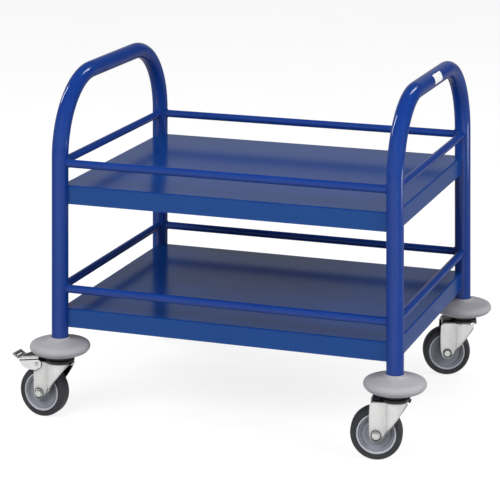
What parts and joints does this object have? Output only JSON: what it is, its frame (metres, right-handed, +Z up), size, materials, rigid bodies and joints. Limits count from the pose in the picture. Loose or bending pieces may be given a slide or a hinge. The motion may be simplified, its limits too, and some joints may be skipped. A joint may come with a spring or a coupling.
{
  "type": "two-shelf trolley",
  "caption": "Two-shelf platform trolley with a bent-tube push handle at each end, guard rails, bumper discs and swivel casters, some with a foot brake.",
  "frame": {"origin": "centre of the upper shelf's top face", "axes": "+Z up, +X along the long side towards the right-hand handle, -Y towards the front"},
  "size_m": [0.858, 0.699, 0.6883],
  "materials": {
    "blue_coat": "gloss",
    "deck_coat": "satin",
    "label": "matte",
    "bumper_grey": "matte",
    "zinc_steel": "bright zinc plate",
    "bolt_zinc": "bright zinc plate",
    "bearing_steel": "polished",
    "spring_steel": "satin",
    "black_plastic": "gloss",
    "wheel_grey": "satin",
    "tyre_dark": "matte"
  },
  "bodies": {
    "frame": {"left_end_frame": "blue_coat", "right_end_frame": "blue_coat", "upper_front_rail": "blue_coat", "upper_rear_rail": "blue_coat", "upper_left_rail": "blue_coat", "upper_right_rail": "blue_coat", "lower_front_rail": "blue_coat", "lower_rear_rail": "blue_coat", "lower_left_rail": "blue_coat", "lower_right_rail": "blue_coat", "upper_shelf": "deck_coat", "lower_shelf": "deck_coat", "handle_label": "label", "leg_inserts": "zinc_steel", "bumper_bushes": "zinc_steel", "bearing_plates": "zinc_steel", "kingpins": "zinc_steel", "swivel_balls": "bearing_steel"},
    "bumper_front_left": {"bumper_front_left": "bumper_grey"},
    "fork_front_left": {"fork_front_left": "zinc_steel", "dust_cover_front_left": "black_plastic", "axle_sleeve_front_left": "bolt_zinc", "axle_bolt_front_left": "bolt_zinc", "axle_nut_front_left": "bolt_zinc", "brake_pin_front_left": "bolt_zinc", "brake_spring_front_left": "spring_steel"},
    "wheel_front_left": {"wheel_centre_front_left": "wheel_grey", "tyre_front_left": "tyre_dark"},
    "pedal_front_left": {"brake_pedal_front_left": "zinc_steel", "pedal_pad_front_left": "black_plastic", "brake_shoe_front_left": "black_plastic"},
    "bumper_front_right": {"bumper_front_right": "bumper_grey"},
    "fork_front_right": {"fork_front_right": "zinc_steel", "dust_cover_front_right": "black_plastic", "axle_sleeve_front_right": "bolt_zinc", "axle_bolt_front_right": "bolt_zinc", "axle_nut_front_right": "bolt_zinc"},
    "wheel_front_right": {"wheel_centre_front_right": "wheel_grey", "tyre_front_right": "tyre_dark"},
    "bumper_rear_left": {"bumper_rear_left": "bumper_grey"},
    "fork_rear_left": {"fork_rear_left": "zinc_steel", "dust_cover_rear_left": "black_plastic", "axle_sleeve_rear_left": "bolt_zinc", "axle_bolt_rear_left": "bolt_zinc", "axle_nut_rear_left": "bolt_zinc", "brake_pin_rear_left": "bolt_zinc", "brake_spring_rear_left": "spring_steel"},
    "wheel_rear_left": {"wheel_centre_rear_left": "wheel_grey", "tyre_rear_left": "tyre_dark"},
    "pedal_rear_left": {"brake_pedal_rear_left": "zinc_steel", "pedal_pad_rear_left": "black_plastic", "brake_shoe_rear_left": "black_plastic"},
    "bumper_rear_right": {"bumper_rear_right": "bumper_grey"},
    "fork_rear_right": {"fork_rear_right": "zinc_steel", "dust_cover_rear_right": "black_plastic", "axle_sleeve_rear_right": "bolt_zinc", "axle_bolt_rear_right": "bolt_zinc", "axle_nut_rear_right": "bolt_zinc"},
    "wheel_rear_right": {"wheel_centre_rear_right": "wheel_grey", "tyre_rear_right": "tyre_dark"}
  },
  "joints": [
    {"name": "bumper_spin_front_left", "type": "hinge", "parent": "frame", "child": "bumper_front_left", "pos_m": [-0.3475, -0.268, -0.3215], "axis": [0, 0, 1], "continuous": true},
    {"name": "swivel_front_left", "type": "hinge", "parent": "frame", "child": "fork_front_left", "pos_m": [-0.3475, -0.268, -0.3485], "axis": [0, 0, 1], "continuous": true},
    {"name": "wheel_spin_front_left", "type": "hinge", "parent": "fork_front_left", "child": "wheel_front_left", "pos_m": [-0.38237, -0.26495, -0.414], "axis": [0.0872, 0.9962, 0], "continuous": true},
    {"name": "brake_front_left", "type": "hinge", "parent": "fork_front_left", "child": "pedal_front_left", "pos_m": [-0.38735, -0.26451, -0.3565], "axis": [-0.0872, -0.9962, 0], "range_deg": [0, 12]},
    {"name": "bumper_spin_front_right", "type": "hinge", "parent": "frame", "child": "bumper_front_right", "pos_m": [0.3475, -0.268, -0.3215], "axis": [0, 0, 1], "continuous": true},
    {"name": "swivel_front_right", "type": "hinge", "parent": "frame", "child": "fork_front_right", "pos_m": [0.3475, -0.268, -0.3485], "axis": [0, 0, 1], "continuous": true},
    {"name": "wheel_spin_front_right", "type": "hinge", "parent": "fork_front_right", "child": "wheel_front_right", "pos_m": [0.31332, -0.27555, -0.414], "axis": [-0.2156, 0.9765, 0], "continuous": true},
    {"name": "bumper_spin_rear_left", "type": "hinge", "parent": "frame", "child": "bumper_rear_left", "pos_m": [-0.3475, 0.268, -0.3215], "axis": [0, 0, 1], "continuous": true},
    {"name": "swivel_rear_left", "type": "hinge", "parent": "frame", "child": "fork_rear_left", "pos_m": [-0.3475, 0.268, -0.3485], "axis": [0, 0, 1], "continuous": true},
    {"name": "wheel_spin_rear_left", "type": "hinge", "parent": "fork_rear_left", "child": "wheel_rear_left", "pos_m": [-0.34445, 0.30287, -0.414], "axis": [0.9962, -0.0872, 0], "continuous": true},
    {"name": "brake_rear_left", "type": "hinge", "parent": "fork_rear_left", "child": "pedal_rear_left", "pos_m": [-0.34401, 0.30785, -0.3565], "axis": [-0.9962, 0.0872, 0], "range_deg": [0, 12]},
    {"name": "bumper_spin_rear_right", "type": "hinge", "parent": "frame", "child": "bumper_rear_right", "pos_m": [0.3475, 0.268, -0.3215], "axis": [0, 0, 1], "continuous": true},
    {"name": "swivel_rear_right", "type": "hinge", "parent": "frame", "child": "fork_rear_right", "pos_m": [0.3475, 0.268, -0.3485], "axis": [0, 0, 1], "continuous": true},
    {"name": "wheel_spin_rear_right", "type": "hinge", "parent": "fork_rear_right", "child": "wheel_rear_right", "pos_m": [0.3145, 0.25635, -0.414], "axis": [-0.333, 0.9429, 0], "continuous": true}
  ]
}
